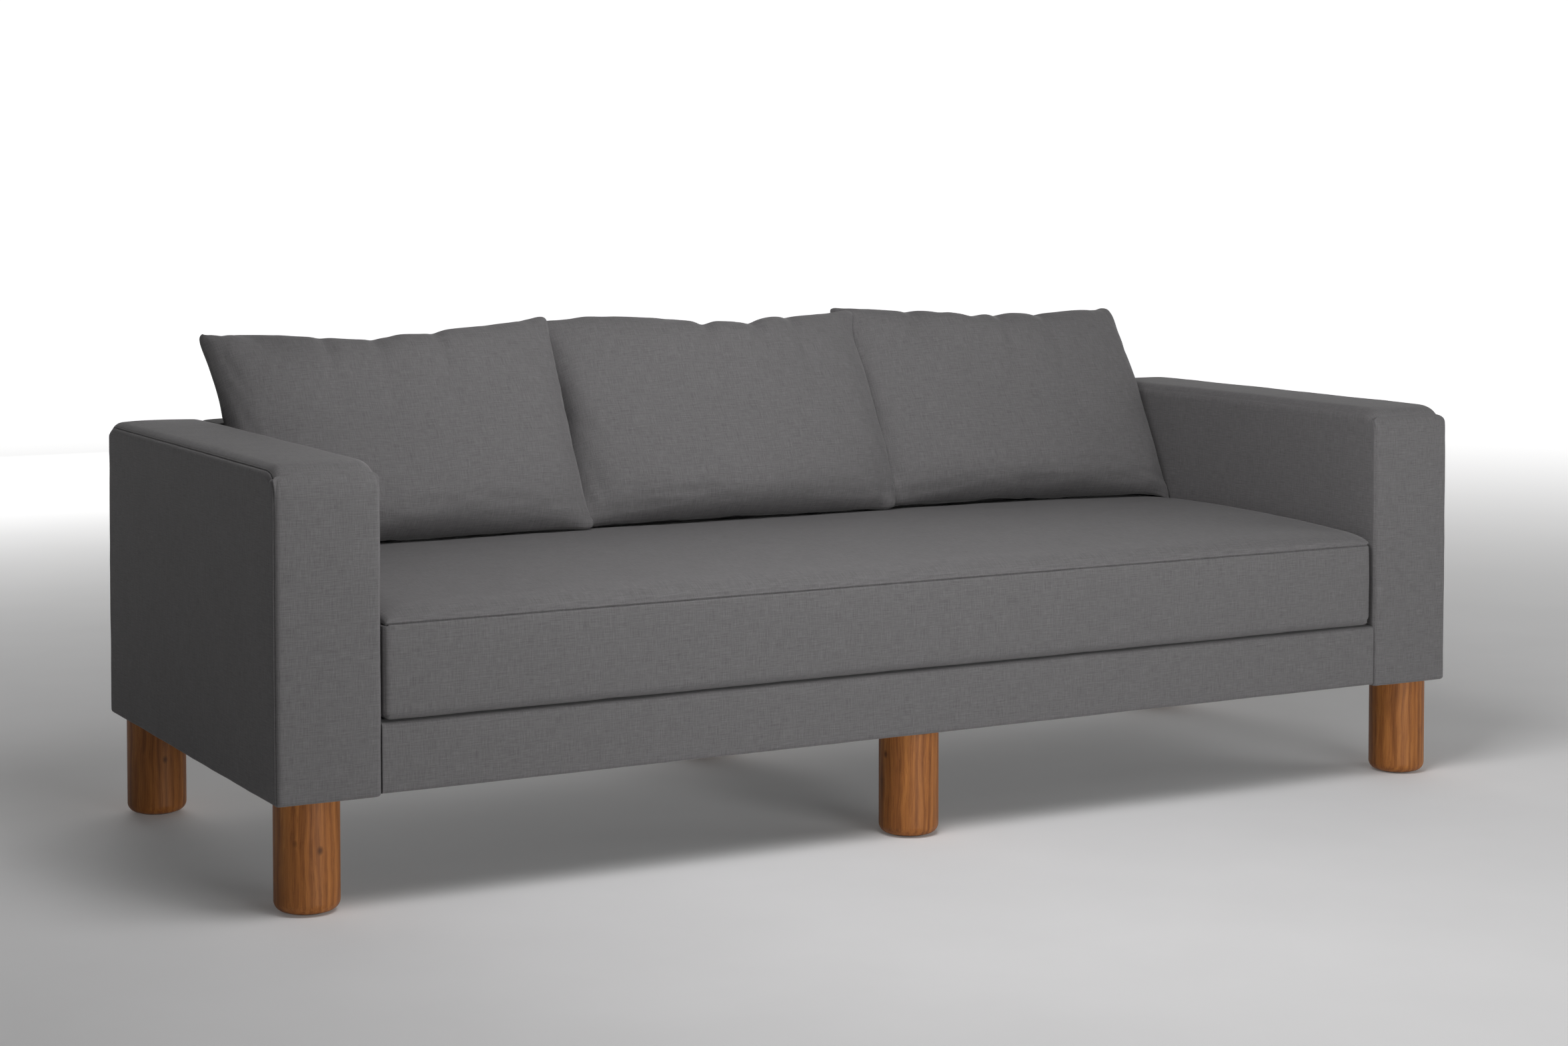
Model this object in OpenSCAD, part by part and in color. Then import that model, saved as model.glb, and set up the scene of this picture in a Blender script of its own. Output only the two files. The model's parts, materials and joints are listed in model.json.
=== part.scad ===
// Three-seat sofa with a bench seat cushion, three loose back pillows, square track arms
// and six round wooden legs. Units are millimetres, +Z is up, the front faces -Y, and the
// origin is on the floor under the middle of the sofa.

/* [Overall] */
// Width over the arms
body_w = 2240; // [2100:10:2400]
// Depth from the arm fronts to the rear face
body_d = 882; // [860:2:920]
// Height of the arms
arm_top = 673; // [660:1:690]
// Width of one arm
arm_w = 166; // [160:1:175]
// Thickness of the upholstered back
back_t = 120; // [116:1:130]

/* [Legs] */
// Diameter of a leg
leg_d = 100; // [90:1:104]
// Length of a leg, without its glide
leg_len = 172; // [150:1:180]
// Radius that rounds a leg's lower edge
leg_round = 16; // [8:1:20]
// Distance from the sofa's side to a corner leg's axis
leg_in_x = 66; // [62:1:80]
// Distance from the front face to a front leg's axis
leg_in_front = 56; // [52:1:62]
// Distance from the rear face to a rear leg's axis
leg_in_rear = 60; // [56:1:66]

/* [Seat] */
// Height of the base, at the gap under the seat cushion
base_top = 281; // [278:1:290]
// Height of the seam round the top of the seat cushion
seat_seam = 434; // [420:1:450]
// How far the seat cushion is crowned above its seam
seat_rise = 40; // [20:1:45]
// Number of sinuous springs under the seat
spring_count = 10; // [6:1:12]

/* [Back pillows] */
// Height of the pillow's top seam
pillow_top = 826; // [800:1:850]
// How far the pillow's front face bulges from its seam plane
pillow_bulge = 62; // [40:1:70]

/* [Hidden] */
$fn = 48;

side_x = body_w / 2;         // outer face of an arm
face_y = body_d / 2;         // front and rear faces
fabric = 2;                  // a cover with its backing
clear = 0.5;                 // looseness between a cover and what it holds
board = 25;                  // rail and board stock
panel = 4;                   // hardboard panels
post_w = 45;                 // posts of the arms and the back

// Heights of the frame
glide_t = 2;                 // felt glide under each leg
glide_in = 3;                // from the glide's edge to the leg's flat end
leg_top = glide_t + leg_len; // underside of the boards that the legs meet
arm_bottom = leg_top - 3;
base_bottom = leg_top;
rail_bottom = base_bottom + 3;
spring_space = 23;           // above the rails, for springs and deck felt
rail_top = base_top - spring_space;

// Arm, drawn on the right and mirrored to the left
arm_in = side_x - arm_w;     // inner face of an arm
arm_bend = 42;               // where the cover turns over the arm's front and rear
arm_round = 18;              // along the arm's top edges
arm_corner = 9;              // down the arm's upright edges
arm_pad_side = 12;           // cover and padding beside the frame
arm_pad_end = 17;
arm_pad_top = 33;
arm_cap = 20;                // board on top of an arm's posts
arm_frame_x = [arm_in + arm_pad_side + panel, side_x - arm_pad_side - panel];
arm_frame_y = [-face_y + arm_pad_end, face_y - arm_pad_end];
arm_frame_top = arm_top - arm_pad_top;
arm_board_z = [leg_top, leg_top + board];
base_bolt_in = 105;          // from the arm frame's front to the first bolt
base_bolt_y = [arm_frame_y[0] + base_bolt_in, 0];
arm_post_y = [arm_frame_y[0], base_bolt_y[0] - post_w / 2, base_bolt_y[1] - post_w / 2,
    arm_frame_y[1] - post_w];

// Base, between the arms
base_x = arm_in - 1;         // half width of the base and the back
back_front = face_y - back_t;
front_skin = 3;              // the front rail's cover stands back this far
rail_in = 11;
rail_y = [-face_y + rail_in, -face_y + rail_in + board];
rear_rail_y = [back_front - 3 - board, back_front - 3];
side_rail_x = [base_x - board, base_x];
base_round = 7;              // along the front rail's edges
cross_x = [-320, 320];
cross_top = rail_top - 18;
block = 60;                  // corner blocks
leg_block_x = 60;            // half width of a centre leg's block
leg_block_len = 90;
leg_block_h = 30;
spacer_in = 10;              // from the rear face to the rear leg's spacer
cover_lap = 5;               // of the rail's pad and cover behind the rail
cover_hem = 21;              // how far the cover hangs down there
pad_gap = 12;                // above the rail, for the spring clips
deck_t = 9;                  // felt over the springs

// Back, between the arms
back_top = arm_top - 3;
back_round = 22;
back_pad = [24, 16, 30];      // cover and padding in front, behind and above
back_frame_y = [back_front + back_pad[0], face_y - back_pad[1]];
back_rail_h = 30;
back_rail_z = [rail_bottom, rail_bottom + back_rail_h];
back_top_z = [back_top - back_pad[2] - board, back_top - back_pad[2]];
mid_post = 310;              // from the middle to the inner posts' axes
back_post_x = [-base_x, -mid_post - post_w / 2, mid_post - post_w / 2, base_x - post_w];
strap_w = 50;                // elastic straps
strap_t = 1.5;
strap_rows = [270, 365, 460, 555];
strap_columns = 8;
strap_in = [14, 2];          // upright straps' ends, from the rails' edges
strap_reach = 805;           // from the middle to the outermost strap's far edge

// Seat cushion
seat_bottom = base_top + 2;
seat_x = arm_in - 3;         // half width of the seat cushion
seat_y = [-face_y + 1, back_front - 3];
seat_corner = 16;
wrap = 14;                   // fibre wrap round the foam core
wrap_cut = 20;               // runs past the wrap's open ends
core_in = 5;                 // from the wrap's open end to the core
zip_half = 800;              // half length of the seat cushion's zip
zip_z = [350, 362];
chain_w = 4;                 // the zip's teeth
chain_t = 0.8;
slider_len = 14;
slider_w = 10;
slider_t = 2.2;
slider_gap = 0.3;            // from the cloth to the slider
tab_len = 26;
tab_w = 6;
tab_t = 1.4;
tab_lift = 0.9;              // from the cloth to the pull tab
tab_hole = 1.6;

// Springs
wire = 3.8;                  // thickness of the spring wire
loop_r = 18;                 // radius of a spring's bends
loop_reach = 14;             // half length of the straight between two bends
wire_end = 8;                // how far a spring's cut end passes its middle
spring_z = rail_top + 5.5;     // middle of the wire
spring_pitch = 180;
spring_loops = floor((rear_rail_y[0] - rail_y[1]) / (2 * loop_r)) + 1;
spring_y0 = (rail_y[1] + rear_rail_y[0]) / 2 - (spring_loops - 1) * loop_r;

// Fasteners, all M8
fit = 0.05;                  // round a bolt, nut or screw in its bore
bolt_r = 4;
bore_r = bolt_r + fit;
through_r = 4.5;
nut_r = 6;
nut_len = 22;
head_r = 7;
head_t = 5;
bolt_len = 70;
bolt_room = 10;              // depth of bore past a nut
hanger_down = 40;            // of a leg's hanger bolt, into the leg
hanger_up = 24;              // and up into its nut
screw_r = 2;
screw_len = 32;
screw_head_r = 4;
screw_head_t = 3;

// Pillows: the seam plane leans from the seat up over the back
pillow_seam_low = [200, seat_seam + seat_rise + 4];
pillow_seam_high = [388, pillow_top];
pillow_split = 312;          // half width of the centre pillow
pillow_gap = 2;              // between neighbouring pillows and beside the arms
pillow_corner = 36;          // rounding of the corners, seen from the front
pillow_reach = [173, 403];   // foremost and rearmost points
pillow_zip_half = 220;
pillow_zip_y = [240, 250];

leg_x = side_x - leg_in_x;
leg_y = [-face_y + leg_in_front, face_y - leg_in_rear];
leg_places = [
    [-leg_x, leg_y[0]], [0, leg_y[0]], [leg_x, leg_y[0]],
    [-leg_x, leg_y[1]], [0, leg_y[1]], [leg_x, leg_y[1]]
];

// Connector bolts: two from the base and two from the back into each arm, three into the back
base_bolt_z = 225;
back_bolt_z = [260, 560];
back_bolt_y = arm_frame_y[1] - post_w / 2;
joint_bolt_x = [-640, 0, 640];
joint_bolt_z = rail_bottom + back_rail_h / 2;

// ---------- helpers ----------

module box(x, y, z) {
    translate([x[0], y[0], z[0]]) cube([x[1] - x[0], y[1] - y[0], z[1] - z[0]]);
}

// Extrusions of a drawing along one axis: along X it is drawn in (y, z), along Y in (x, z)
module along_x(x) {
    translate([x[0], 0, 0]) rotate([90, 0, 90]) linear_extrude(x[1] - x[0]) children();
}
module along_y(y) {
    translate([0, y[1], 0]) rotate([90, 0, 0]) linear_extrude(y[1] - y[0]) children();
}
module along_z(z) {
    translate([0, 0, z[0]]) linear_extrude(z[1] - z[0]) children();
}

// A rectangle whose two upper corners are round
module round_top(a, b, r) {
    translate([a[0], b[0]]) square([a[1] - a[0], b[1] - b[0] - r]);
    translate([a[0] + r, b[0]]) square([a[1] - a[0] - 2 * r, b[1] - b[0]]);
    for (u = [a[0] + r, a[1] - r])
        translate([u, b[1] - r]) circle(r);
}

// A rectangle whose four corners are round
module round_rect(a, b, r) {
    translate([a[0] + r, b[0]]) square([a[1] - a[0] - 2 * r, b[1] - b[0]]);
    translate([a[0], b[0] + r]) square([a[1] - a[0], b[1] - b[0] - 2 * r]);
    for (u = [a[0] + r, a[1] - r], v = [b[0] + r, b[1] - r])
        translate([u, v]) circle(r);
}

module rod_x(x, y, z, r) {
    translate([x[0], y, z]) rotate([0, 90, 0]) cylinder(r = r, h = x[1] - x[0]);
}
module rod_y(x, y, z, r) {
    translate([x, y[1], z]) rotate([90, 0, 0]) cylinder(r = r, h = y[1] - y[0]);
}
module rod_z(x, y, z, r) {
    translate([x, y, z[0]]) cylinder(r = r, h = z[1] - z[0]);
}

// The left arm is the right arm's mirror image
module on_side(side) {
    mirror([side == "left" ? 1 : 0, 0, 0]) children();
}

// Where a cylinder of radius r passes through the arm for each connector bolt
module arm_bolt_holes(r, x) {
    for (y = base_bolt_y)
        rod_x(x, y, base_bolt_z, r);
    for (z = back_bolt_z)
        rod_x(x, back_bolt_y, z, r);
}

// ---------- arms ----------

module arm_form(inset, bottom) {
    x = [arm_in + inset, side_x - inset];
    y = [-face_y + inset, face_y - inset];
    z = [bottom, arm_top - inset];
    intersection() {
        along_y(y) round_top(x, z, arm_round - inset);
        along_x(x) round_top(y, z, arm_bend - inset);
        along_z(z) round_rect(x, y, arm_corner - inset);
    }
}

module arm_cover(side) {
    color("dimgray") on_side(side) difference() {
        arm_form(0, arm_bottom);
        arm_form(fabric, arm_bottom - 1);
        arm_bolt_holes(through_r, [arm_in - 1, arm_frame_x[0]]);
    }
}

module arm_foam(side) {
    color("khaki") on_side(side) difference() {
        arm_form(fabric + clear, leg_top);
        box([arm_frame_x[0] - panel, arm_frame_x[1] + panel], arm_frame_y, [leg_top - 1, arm_frame_top]);
        arm_bolt_holes(through_r, [arm_in - 1, arm_frame_x[0]]);
    }
}

module arm_panel(side, x, bolted) {
    color("peru") on_side(side) difference() {
        box(x, arm_frame_y, [leg_top, arm_frame_top]);
        if (bolted) arm_bolt_holes(through_r, [x[0] - 1, x[1] + 1]);
    }
}
module arm_inner_panel(side) {
    arm_panel(side, [arm_frame_x[0] - panel, arm_frame_x[0]], true);
}
module arm_outer_panel(side) {
    arm_panel(side, [arm_frame_x[1], arm_frame_x[1] + panel], false);
}

module arm_posts(side) {
    color("burlywood") on_side(side) difference() {
        for (y = arm_post_y)
            box(arm_frame_x, [y, y + post_w], [arm_board_z[1], arm_frame_top - arm_cap]);
        arm_bolt_holes(nut_r + fit, [arm_frame_x[0] - 1, arm_frame_x[0] + nut_len + bolt_room]);
    }
}

module arm_boards(side) {
    color("tan") on_side(side) {
        box(arm_frame_x, arm_frame_y, [arm_frame_top - arm_cap, arm_frame_top]);
        difference() {
            box(arm_frame_x, arm_frame_y, arm_board_z);
            for (y = leg_y)
                rod_z(leg_x, y, [arm_board_z[0] - 1, arm_board_z[1] + 1], nut_r + fit);
        }
    }
}

// ---------- base ----------

module base_front_rail() {
    color("burlywood") difference() {
        box([-base_x, base_x], rail_y, [rail_bottom, rail_top]);
        corner_screws(screw_r + fit);
    }
}

module base_rear_rail() {
    color("burlywood") difference() {
        box([-base_x, base_x], rear_rail_y, [rail_bottom, rail_top]);
        for (x = joint_bolt_x)
            rod_y(x, [rear_rail_y[0] - 1, rear_rail_y[1] + 1], joint_bolt_z, through_r);
        corner_screws(screw_r + fit);
    }
}

module base_side_rails() {
    color("burlywood") difference() {
        for (s = [0, 1])
            mirror([s, 0, 0]) difference() {
                box(side_rail_x, [rail_y[1], rear_rail_y[0]], [rail_bottom, rail_top]);
                for (y = base_bolt_y)
                    rod_x([side_rail_x[0] - 1, side_rail_x[1] + 1], y, base_bolt_z, through_r);
            }
        corner_screws(screw_r + fit);
    }
}

module base_cross_rails() {
    color("burlywood") for (x = cross_x)
        box([x - board / 2, x + board / 2], [rail_y[1], rear_rail_y[0]], [rail_bottom, cross_top]);
}

// Triangular blocks glued and screwed into the four inner corners
module corner_block() {
    linear_extrude(block) polygon([[0, 0], [block, 0], [0, block]]);
}
module at_corners() {
    for (s = [0, 1], t = [0, 1]) {
        y = t == 0 ? rail_y[1] : rear_rail_y[0];
        mirror([s, 0, 0]) translate([side_rail_x[0], y, rail_bottom]) mirror([1, 0, 0])
            mirror([0, t, 0]) children();
    }
}
module base_corner_blocks() {
    color("wheat") difference() {
        at_corners() corner_block();
        corner_screws(screw_r + fit);
        corner_screw_heads(screw_head_r + 2 * fit);
    }
}

// Each block takes one screw into each rail
screw_in = 22;               // from the corner to a screw, along the other rail
screw_depth = 12;            // of block left under a screw's head
screw_low = block * 0.35;
screw_high = block * 0.7;
module corner_screws(r) {
    at_corners() {
        rod_y(screw_in, [screw_depth - screw_len, screw_depth], screw_low, r);
        rod_x([screw_depth - screw_len, screw_depth], screw_in, screw_high, r);
    }
}
module corner_screw_heads(r) {
    at_corners() {
        rod_y(screw_in, [screw_depth, block], screw_low, r);
        rod_x([screw_depth, block], screw_in, screw_high, r);
    }
}

// The front centre leg bolts to a block inside the rail, the rear one to the back through a spacer
module base_leg_blocks() {
    x = [-leg_block_x, leg_block_x];
    color("wheat") {
        difference() {
            box(x, [rail_y[1], rail_y[1] + leg_block_len], [leg_top, leg_top + leg_block_h]);
            rod_z(0, leg_y[0], [leg_top - 1, leg_top + leg_block_h + 1], nut_r + fit);
        }
        difference() {
            box(x, [back_frame_y[0], face_y - spacer_in], [leg_top, rail_bottom]);
            rod_z(0, leg_y[1], [leg_top - 1, rail_bottom + 1], nut_r + fit);
        }
    }
}

// ---------- springs and deck ----------

spring_xs = [for (i = [0 : spring_count - 1]) (i - (spring_count - 1) / 2) * spring_pitch];

// Half of a ring, on the side that s points to along X
module half_ring(s) {
    difference() {
        circle(loop_r + wire / 2);
        circle(loop_r - wire / 2);
        translate([s > 0 ? -2 * loop_r : 0, -2 * loop_r]) square([2 * loop_r, 4 * loop_r]);
    }
}

// One zig-zag spring: straights across it, joined by bends that turn left and right in turn
module spring_plan() {
    for (i = [0 : spring_loops - 2]) {
        s = i % 2 == 0 ? 1 : -1;
        translate([s * loop_reach, (2 * i + 1) * loop_r]) half_ring(s);
    }
    for (i = [0 : spring_loops - 1]) {
        last = i == spring_loops - 1;
        from = i == 0 || (last && i % 2 == 1) ? -wire_end : -loop_reach;
        to = last && i % 2 == 0 ? wire_end : loop_reach;
        translate([from, 2 * i * loop_r - wire / 2]) square([to - from, wire]);
    }
}

module seat_springs() {
    color("silver") for (x = spring_xs)
        translate([x, spring_y0, spring_z - wire / 2]) linear_extrude(wire) spring_plan();
}

// A folded clip holds each spring end on its rail: a strap over the wire and a tongue on the rail
clip_t = 1.5;
clip_half = 7;               // half its width
clip_wrap = 4;               // on each side of the wire
clip_tongue = 12;            // on the rail
clip_slack = 0.4;            // over the wire
module spring_clip(y, to_rail) {
    top = spring_z + wire / 2 + clip_slack + clip_t;
    reach = abs(to_rail - y);
    s = to_rail > y ? 1 : -1;
    translate([0, y, 0]) mirror([0, s > 0 ? 0 : 1, 0]) {
        box([-clip_half, clip_half], [-clip_wrap, reach + clip_tongue], [rail_top, rail_top + clip_t]);
        box([-clip_half, clip_half], [-clip_wrap - clip_t, -clip_wrap], [rail_top, top]);
        box([-clip_half, clip_half], [-clip_wrap, clip_wrap], [top - clip_t, top]);
    }
}
module spring_clips() {
    spring_y1 = spring_y0 + 2 * (spring_loops - 1) * loop_r;
    color("dimgray") for (x = spring_xs) {
        translate([x, 0, 0]) spring_clip(spring_y0, rail_y[1]);
        translate([x, 0, 0]) spring_clip(spring_y1, rear_rail_y[0]);
    }
}

tie_y = [-150, 60];
tie_r = 1.5;
module spring_tie_wires() {
    reach = side_rail_x[0] - 2;
    color("gray") for (y = tie_y)
        rod_x([-reach, reach], y, spring_z + wire / 2 + clip_slack + tie_r, tie_r);
}

module seat_deck_felt() {
    color("gray") box([-base_x, base_x], [rail_y[1] + cover_lap, back_front - 1],
        [base_top - 1 - deck_t, base_top - 1]);
}

module front_rail_pad() {
    gap = fabric + clear;
    y = [-face_y + front_skin + gap, rail_y[1] + board];
    color("khaki") along_x([-base_x, base_x]) difference() {
        round_rect(y, [base_bottom + gap, base_top - gap], base_round - gap);
        translate([rail_y[0], base_bottom]) square([board * 3, rail_top + pad_gap - base_bottom]);
        translate([rail_y[1] + cover_lap, base_bottom]) square([board * 2, base_top - base_bottom]);
    }
}

// Fabric round the front rail, with its upper and lower edges folded back
module base_cover() {
    y = [-face_y + front_skin, rail_y[1] + board + cover_lap];
    color("dimgray") along_x([-base_x, base_x]) difference() {
        round_rect(y, [base_bottom, base_top], base_round);
        round_rect([y[0] + fabric, y[1] + board], [base_bottom + fabric, base_top - fabric],
            base_round - fabric);
        translate([rail_y[1], base_bottom - 1]) square([board * 2, base_top - cover_hem - base_bottom + 1]);
        translate([rail_y[1] + cover_lap, base_bottom - 1]) square([board * 2, base_top - base_bottom + 2]);
    }
}

// ---------- back ----------

module back_form(inset, x, bottom) {
    y = [back_front + inset, face_y - inset];
    along_x(x) round_top(y, [bottom, back_top - inset], back_round - inset);
}

module back_bolt_holes(r, x0) {
    for (s = [0, 1], z = back_bolt_z)
        mirror([s, 0, 0]) rod_x([x0, base_x + 1], back_bolt_y, z, r);
}
module joint_bolt_holes(r, y) {
    for (x = joint_bolt_x)
        rod_y(x, y, joint_bolt_z, r);
}

module back_cover() {
    color("dimgray") difference() {
        back_form(0, [-base_x, base_x], base_bottom);
        back_form(fabric, [-base_x - 1, base_x + 1], base_bottom - 1);
        box([-base_x - 1, base_x + 1], [back_front - 1, back_front + fabric + 1],
            [base_bottom - 1, rail_bottom + 1]);
        joint_bolt_holes(through_r, [back_front - 1, back_front + 10]);
    }
}

module back_foam() {
    color("khaki") difference() {
        back_form(fabric + clear, [-base_x, base_x], rail_bottom);
        box([-base_x - 1, base_x + 1], [back_frame_y[0] - 2 * strap_t - clear, back_frame_y[1] + panel],
            [rail_bottom - 1, back_top_z[1]]);
        joint_bolt_holes(through_r, [back_front, back_front + 30]);
    }
}

module back_rails() {
    color("burlywood") {
        box([-base_x, base_x], back_frame_y, back_top_z);
        difference() {
            box([-base_x, base_x], back_frame_y, back_rail_z);
            joint_bolt_holes(nut_r + fit, [back_frame_y[0] - 1, back_frame_y[0] + nut_len + bolt_room]);
            rod_z(0, leg_y[1], [rail_bottom - 1, back_rail_z[1] + 1], nut_r + fit);
        }
    }
}

module back_posts() {
    color("burlywood") difference() {
        for (x = back_post_x)
            box([x, x + post_w], back_frame_y, [back_rail_z[1], back_top_z[0]]);
        back_bolt_holes(through_r, base_x - post_w - 1);
        for (s = [0, 1], z = back_bolt_z)
            mirror([s, 0, 0])
                rod_x([base_x - post_w - 1, side_rail_x[0]], back_bolt_y, z, head_r + 1);
    }
}

// Elastic straps on the front of the back frame, the upright ones over the level ones
module back_webbing() {
    front = back_frame_y[0];
    pitch = (2 * strap_reach - strap_w) / (strap_columns - 1);
    color("darkkhaki") {
        for (z = strap_rows)
            box([-base_x, base_x], [front - strap_t, front], [z, z + strap_w]);
        for (i = [0 : strap_columns - 1]) {
            x = i * pitch - strap_reach;
            box([x, x + strap_w], [front - 2 * strap_t, front - strap_t],
                [back_rail_z[1] + strap_in[0], back_top_z[1] - strap_in[1]]);
        }
    }
}

module back_rear_panel() {
    color("peru") box([-base_x, base_x], [back_frame_y[1], back_frame_y[1] + panel],
        [rail_bottom, back_top_z[1]]);
}

// ---------- seat cushion ----------

crown_steps = 24;
crown_power = [0.25, 0.5];    // along X and Y: the smaller, the flatter the middle

// Outline of the cushion across one axis: flat below, crowned above
function crowned(a, bottom, edge, power) = concat(
    [[a[0], bottom], [a[1], bottom]],
    [for (i = [0 : crown_steps])
        let (s = 1 - i / crown_steps)
        [a[0] + (a[1] - a[0]) * s, edge + seat_rise * pow(sin(180 * s), power)]]
);

module seat_form(inset, x, y) {
    xi = [x[0] + inset, x[1] - inset];
    yi = [y[0] + inset, y[1] - inset];
    bottom = seat_bottom + inset;
    edge = seat_seam - inset;
    intersection() {
        along_x(xi) polygon(crowned(yi, bottom, edge, crown_power[1]));
        along_y(yi) polygon(crowned(xi, bottom, edge, crown_power[0]));
        along_z([bottom, edge + seat_rise]) round_rect(xi, yi, seat_corner - inset / 2);
    }
}

module seat_zip_slot(grow) {
    box([-zip_half - grow, zip_half + grow], [seat_y[1] - fabric - grow, seat_y[1] + grow],
        [zip_z[0] - grow, zip_z[1] + grow]);
}

module seat_cover() {
    color("dimgray") difference() {
        seat_form(0, [-seat_x, seat_x], seat_y);
        seat_form(fabric, [-seat_x, seat_x], seat_y);
        seat_zip_slot(0.1);
    }
}

// The wrap goes round the core from front to back and is open at both ends
module seat_wrap() {
    color("whitesmoke") difference() {
        seat_form(fabric + clear, [-seat_x, seat_x], seat_y);
        seat_form(wrap, [-seat_x - wrap_cut, seat_x + wrap_cut], seat_y);
    }
}

module seat_core() {
    color("khaki") seat_form(wrap + clear, [-seat_x + core_in, seat_x - core_in], seat_y);
}

module seat_zip() {
    mid = (zip_z[0] + zip_z[1]) / 2;
    color("black") {
        box([-zip_half, zip_half], [seat_y[1] - fabric, seat_y[1] - chain_t], zip_z);
        box([-zip_half, zip_half], [seat_y[1] - chain_t, seat_y[1]],
            [mid - chain_w / 2, mid + chain_w / 2]);
    }
}

// Slider body with its pull tab, in (run along the zip, across it, out from it)
module zip_slider() {
    tab_end = 1 - slider_w / 2 - tab_len;
    translate([0, -slider_w / 2, slider_gap]) cube([slider_len, slider_w, slider_t]);
    difference() {
        translate([(slider_len - tab_w) / 2, tab_end, tab_lift]) cube([tab_w, tab_len, tab_t]);
        translate([slider_len / 2, tab_end + 4, 0]) cylinder(r = tab_hole, h = tab_len);
    }
}

// Parked at the right-hand end of the zip, with the tab hanging down
module seat_zip_slider() {
    mid = (zip_z[0] + zip_z[1]) / 2;
    color("silver") translate([zip_half - slider_len, seat_y[1], mid]) mirror([0, 1, 0])
        rotate([90, 0, 0]) zip_slider();
}

// ---------- pillows ----------

pillow_steps = 12;
pillow_power = 0.7;
// Rear outline from the top seam down over the back's edge to the seat
pillow_rear = [
    [pillow_seam_high[0] + 8, pillow_top - 34], [pillow_seam_high[0] - 5, pillow_top - 88],
    [back_front + 27, back_top + 22], [back_front - 2, back_top + 4],
    [back_front - 2, pillow_seam_low[1] + 37], [back_front - 20, pillow_seam_low[1] + 4],
    [pillow_seam_low[0] + 20, pillow_seam_low[1]]
];

// Front outline from the low seam to the high one: a bulge square to the seam plane
function pillow_front(t) =
    let (run = pillow_seam_high - pillow_seam_low,
         out = [-run[1], run[0]] / norm(run))
    pillow_seam_low + run * t + out * pillow_bulge * pow(sin(180 * t), pillow_power);

module pillow_outline() {
    polygon(concat([for (i = [0 : pillow_steps]) pillow_front(i / pillow_steps)], pillow_rear));
}

module pillow_form(x, inset) {
    z = [pillow_seam_low[1] + inset, pillow_top - inset];
    mid = [(pillow_reach[0] + pillow_reach[1]) / 2, (z[0] + z[1]) / 2];
    size = [pillow_reach[1] - pillow_reach[0], z[1] - z[0] + 2 * inset];
    shrink = [(size[0] - 2 * inset) / size[0], (size[1] - 2 * inset) / size[1]];
    intersection() {
        along_x([x[0] + inset, x[1] - inset])
            translate(mid) scale(shrink) translate(-mid) pillow_outline();
        along_y([0, face_y]) round_rect([x[0] + inset, x[1] - inset], z, pillow_corner);
    }
}

function pillow_span(which) =
    which == "left" ? [-arm_in + 2, -pillow_split - pillow_gap]
    : which == "center" ? [-pillow_split, pillow_split]
    : [pillow_split + pillow_gap, arm_in - 2];

// The zip lies in the bottom of the cover, behind the seam
module pillow_zip_slot(x, grow) {
    mid = (x[0] + x[1]) / 2;
    box([mid - pillow_zip_half - grow, mid + pillow_zip_half + grow],
        [pillow_zip_y[0] - grow, pillow_zip_y[1] + grow],
        [pillow_seam_low[1] - grow, pillow_seam_low[1] + fabric + 1 + grow]);
}

module pillow_cover(which) {
    x = pillow_span(which);
    color("dimgray") difference() {
        pillow_form(x, 0);
        pillow_form(x, fabric);
        pillow_zip_slot(x, 0.1);
    }
}
module pillow_insert(which) {
    color("whitesmoke") pillow_form(pillow_span(which), fabric + 2);
}
module pillow_zip_slider(which) {
    x = pillow_span(which);
    end = (x[0] + x[1]) / 2 + pillow_zip_half;
    y = (pillow_zip_y[0] + pillow_zip_y[1]) / 2;
    color("silver") translate([end - slider_len, y, pillow_seam_low[1]]) rotate([180, 0, 0])
        zip_slider();
}
module pillow_zip(which) {
    x = pillow_span(which);
    color("black") intersection() {
        pillow_zip_slot(x, 0);
        box(x, [0, face_y], [pillow_seam_low[1] + 0.2, pillow_seam_low[1] + fabric + 0.5]);
    }
}

// ---------- legs ----------

module leg(i) {
    p = leg_places[i];
    r = leg_d / 2;
    pilot = hanger_down + 2;
    color("saddlebrown") translate([p[0], p[1], glide_t]) difference() {
        rotate_extrude() {
            translate([0, leg_round]) square([r, leg_len - leg_round]);
            square([r - leg_round, leg_len]);
            intersection() {
                translate([r - leg_round, leg_round]) circle(leg_round);
                square([r, leg_round + 1]);
            }
        }
        translate([0, 0, leg_len - pilot]) cylinder(r = bore_r, h = pilot + 1);
    }
}

module leg_glides() {
    color("dimgray") for (p = leg_places)
        rod_z(p[0], p[1], [0, glide_t], leg_d / 2 - leg_round - glide_in);
}

module leg_hanger_bolts() {
    color("silver") for (p = leg_places)
        rod_z(p[0], p[1], [leg_top - hanger_down, leg_top + hanger_up], bolt_r);
}

// ---------- fasteners ----------

module insert_nut() {
    difference() {
        cylinder(r = nut_r, h = nut_len);
        translate([0, 0, -1]) cylinder(r = bore_r, h = nut_len + 2);
    }
}

module insert_nuts() {
    color("goldenrod") {
        for (p = leg_places)
            translate([p[0], p[1], (p == [0, leg_y[1]] ? rail_bottom : leg_top) + 1]) insert_nut();
        for (s = [0, 1])
            mirror([s, 0, 0]) {
                for (y = base_bolt_y)
                    translate([arm_frame_x[0], y, base_bolt_z]) rotate([0, 90, 0]) insert_nut();
                for (z = back_bolt_z)
                    translate([arm_frame_x[0], back_bolt_y, z]) rotate([0, 90, 0]) insert_nut();
            }
        for (x = joint_bolt_x)
            translate([x, back_frame_y[0], joint_bolt_z]) rotate([-90, 0, 0]) insert_nut();
    }
}

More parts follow.
